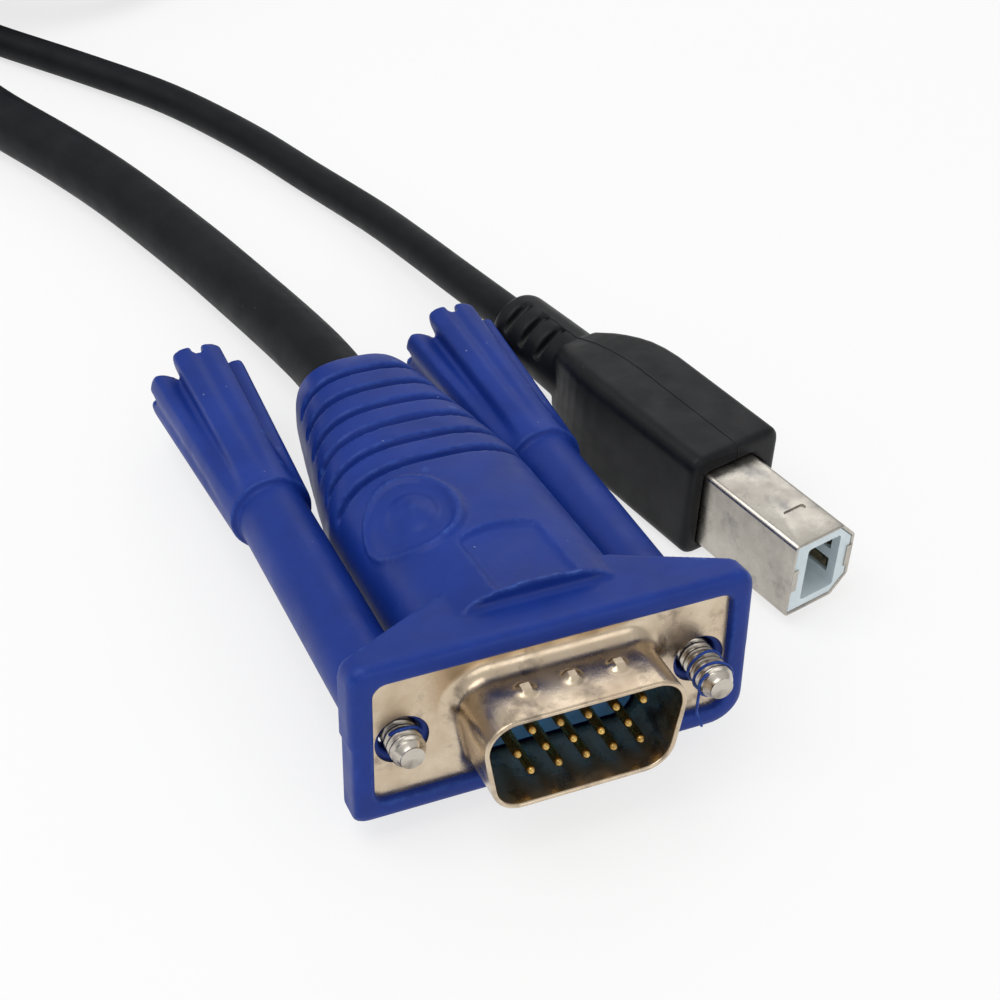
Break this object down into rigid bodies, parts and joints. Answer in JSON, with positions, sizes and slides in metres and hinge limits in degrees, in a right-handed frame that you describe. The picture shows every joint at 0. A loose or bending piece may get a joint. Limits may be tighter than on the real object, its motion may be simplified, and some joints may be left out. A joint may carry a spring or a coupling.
{
  "type": "kvm cable",
  "caption": "Cable with a blue video plug with captive thumbscrews and a square USB plug, and coiled black leads to a second video plug and a flat USB plug.",
  "frame": {"origin": "the rest point on the flat of the near video hood's belly, on the floor under the plug", "axes": "-Z is the belly's outward normal, +Y runs back from the plug's mouth along the floor, and +X is to the right seen from the mouth with the plug's wide side up"},
  "size_m": [0.0922, 0.2384, 0.0394],
  "materials": {
    "blue_plastic": "satin moulded vinyl",
    "blue_insulator": "moulded, slightly glossy",
    "nickel_plate": "nickel plated pressed steel",
    "gold_contact": "gold flashed contacts",
    "white_insulator": "bluish white moulding",
    "black_cover": "soft matte vinyl",
    "tie_band": "matte band"
  },
  "bodies": {
    "cable": {"vga_hood": "blue_plastic", "vga_shell": "nickel_plate", "vga_insulator": "blue_insulator", "far_vga_hood": "blue_plastic", "far_vga_shell": "nickel_plate", "far_vga_insulator": "blue_insulator", "vga_pin_01": "gold_contact", "vga_pin_02": "gold_contact", "vga_pin_03": "gold_contact", "vga_pin_04": "gold_contact", "vga_pin_05": "gold_contact", "vga_pin_06": "gold_contact", "vga_pin_07": "gold_contact", "vga_pin_08": "gold_contact", "vga_pin_09": "gold_contact", "vga_pin_10": "gold_contact", "vga_pin_11": "gold_contact", "vga_pin_12": "gold_contact", "vga_pin_13": "gold_contact", "vga_pin_14": "gold_contact", "vga_pin_15": "gold_contact", "usb_b_overmould": "black_cover", "usb_b_shell": "nickel_plate", "usb_b_insulator": "white_insulator", "usb_a_overmould": "black_cover", "usb_a_shell": "nickel_plate", "usb_a_tongue": "white_insulator", "usb_b_contact_1": "gold_contact", "usb_b_contact_2": "gold_contact", "usb_b_contact_3": "gold_contact", "usb_b_contact_4": "gold_contact", "usb_a_contact_1": "gold_contact", "usb_a_contact_2": "gold_contact", "usb_a_contact_3": "gold_contact", "usb_a_contact_4": "gold_contact", "video_lead": "black_cover", "video_lead_far": "black_cover", "video_coil": "black_cover", "video_tie": "tie_band", "usb_lead": "black_cover", "usb_lead_far": "black_cover", "usb_coil": "black_cover", "usb_tie": "tie_band"},
    "vga_left_thumbscrew": {"vga_left_grip": "blue_plastic", "vga_left_screw": "nickel_plate"},
    "vga_right_thumbscrew": {"vga_right_grip": "blue_plastic", "vga_right_screw": "nickel_plate"},
    "far_vga_left_thumbscrew": {"far_vga_left_grip": "blue_plastic", "far_vga_left_screw": "nickel_plate"},
    "far_vga_right_thumbscrew": {"far_vga_right_grip": "blue_plastic", "far_vga_right_screw": "nickel_plate"}
  },
  "joints": [
    {"name": "vga_left_turn", "type": "hinge", "parent": "cable", "child": "vga_left_thumbscrew", "pos_m": [-0.01249, -0.0156, 0.00942], "axis": [0, 0.9969, -0.0791], "continuous": true},
    {"name": "vga_right_turn", "type": "hinge", "parent": "cable", "child": "vga_right_thumbscrew", "pos_m": [0.01249, -0.0173, 0.00955], "axis": [0, 0.9969, -0.0791], "continuous": true},
    {"name": "far_vga_left_turn", "type": "hinge", "parent": "cable", "child": "far_vga_left_thumbscrew", "pos_m": [-0.04445, 0.1665, 0.03092], "axis": [0.9969, 0, -0.0791], "continuous": true},
    {"name": "far_vga_right_turn", "type": "hinge", "parent": "cable", "child": "far_vga_right_thumbscrew", "pos_m": [-0.04614, 0.1415, 0.03106], "axis": [0.9969, 0, -0.0791], "continuous": true}
  ]
}
